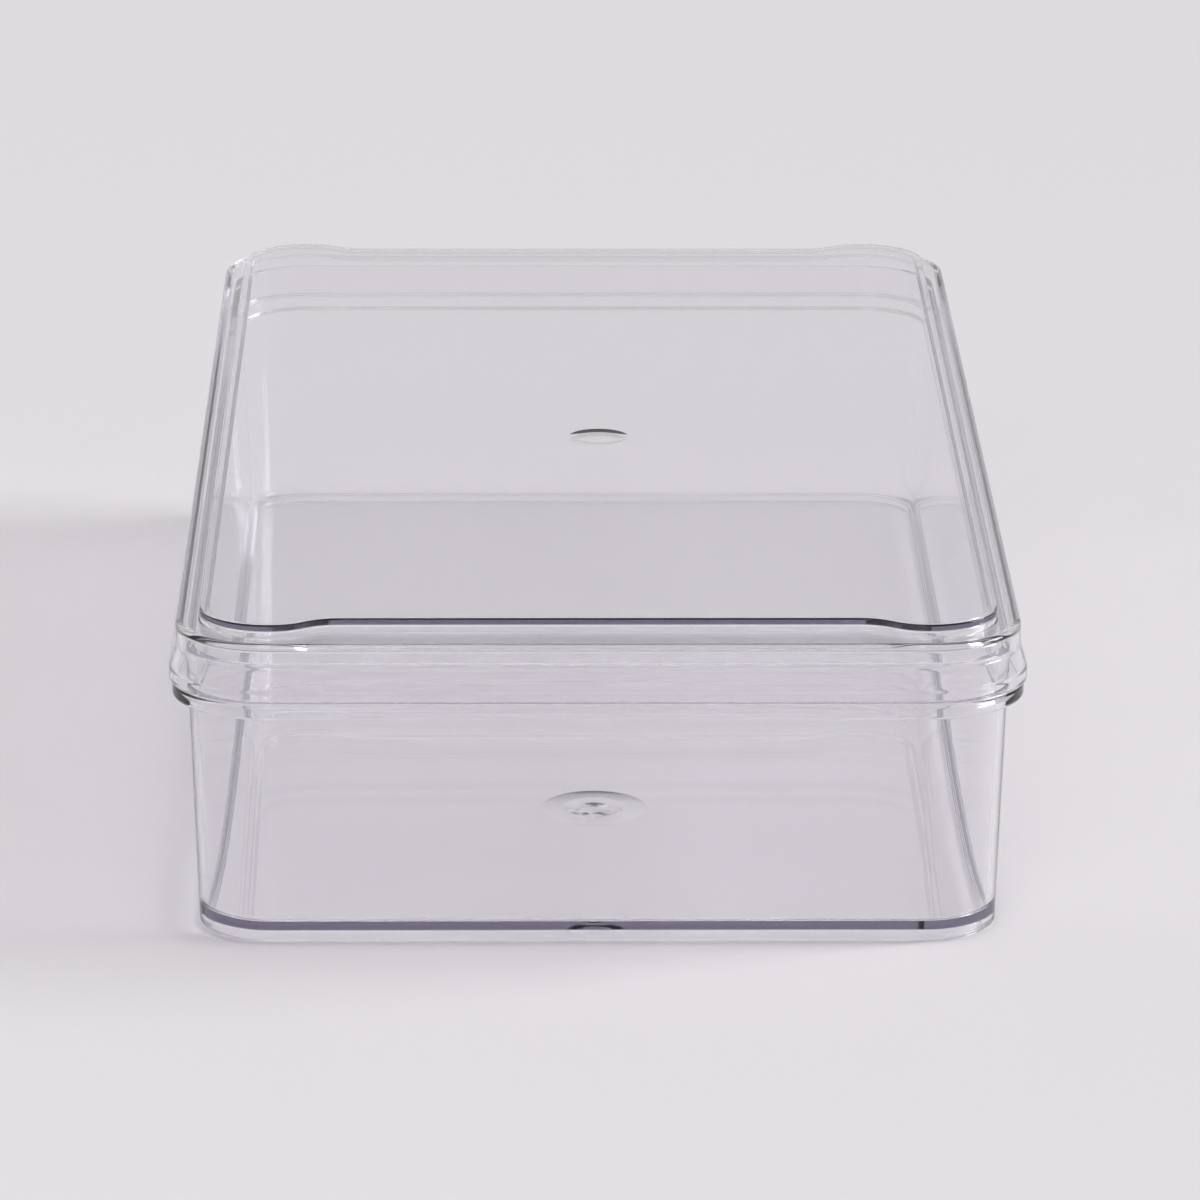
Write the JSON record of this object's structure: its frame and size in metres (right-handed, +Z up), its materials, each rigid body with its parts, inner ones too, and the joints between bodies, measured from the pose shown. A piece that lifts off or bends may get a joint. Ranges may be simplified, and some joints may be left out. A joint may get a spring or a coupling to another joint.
{
  "type": "storage box with lid",
  "caption": "Rectangular clear plastic storage box with rounded corners and a loose lift-off lid whose raised panel is set back at both ends.",
  "frame": {"origin": "on the table, under the middle of the box", "axes": "+Z up, +Y along the box, the short sides face -Y and +Y"},
  "size_m": [0.171, 0.318, 0.066],
  "materials": {
    "clear_box": "polished, clear and see-through, with a faint lavender tint",
    "clear_lid": "polished, clear and see-through, with a faint lavender tint"
  },
  "bodies": {
    "box": {"box_body": "clear_box"},
    "lid": {"lid": "clear_lid"}
  },
  "joints": [
    {"name": "lid_lift", "type": "slide", "parent": "box", "child": "lid", "axis": [0, 0, 1], "range_m": [0, 0.06]}
  ]
}
